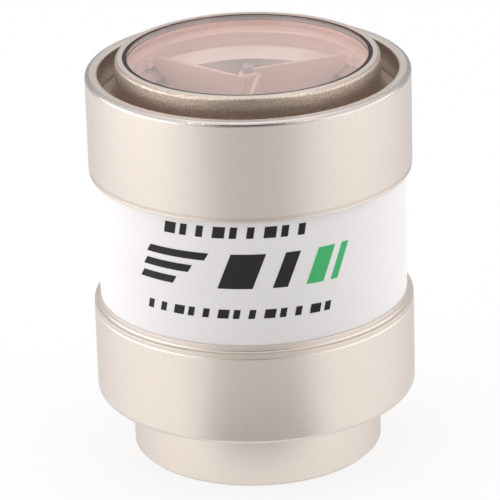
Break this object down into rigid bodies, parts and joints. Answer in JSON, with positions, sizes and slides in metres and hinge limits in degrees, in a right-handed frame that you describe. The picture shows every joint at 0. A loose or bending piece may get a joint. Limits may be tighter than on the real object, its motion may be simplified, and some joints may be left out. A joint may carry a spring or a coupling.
{
  "type": "xenon arc lamp",
  "caption": "Short-arc lamp with a ceramic body, metal collars, a built-in reflector and a tinted front window.",
  "frame": {"origin": "centre of the rear face of the base spigot, on the optical axis", "axes": "+Z along the optical axis, out of the window; +X to the right of the picture"},
  "size_m": [0.0412, 0.0412, 0.0529],
  "materials": {
    "satin_nickel": "satin nickel plate with a warm tone",
    "blasted_nickel": "blasted nickel, fine grain",
    "white_ceramic": "fine-ground white alumina",
    "filter_glass": "polished, pink heat-filter coating",
    "braze": "dark braze",
    "mirror_coat": "mirror coat in the bowl",
    "strut_metal": "bright sheet metal",
    "tungsten": "ground tungsten",
    "copper": "clean copper",
    "getter_metal": "sintered grey metal"
  },
  "bodies": {
    "root": {"window": "filter_glass", "window_seal": "braze", "window_shell": "blasted_nickel", "front_collar": "satin_nickel", "upper_flange": "satin_nickel", "ceramic_body": "white_ceramic", "lower_flange": "satin_nickel", "rear_collar": "satin_nickel", "anode_base": "satin_nickel", "anode_block": "copper", "anode": "tungsten", "cathode": "tungsten", "reflector": "mirror_coat", "strut_ring": "strut_metal", "strut_right": "strut_metal", "strut_left": "strut_metal", "strut_front": "strut_metal", "gas_tube": "copper", "getter_ring": "getter_metal"}
  },
  "joints": []
}
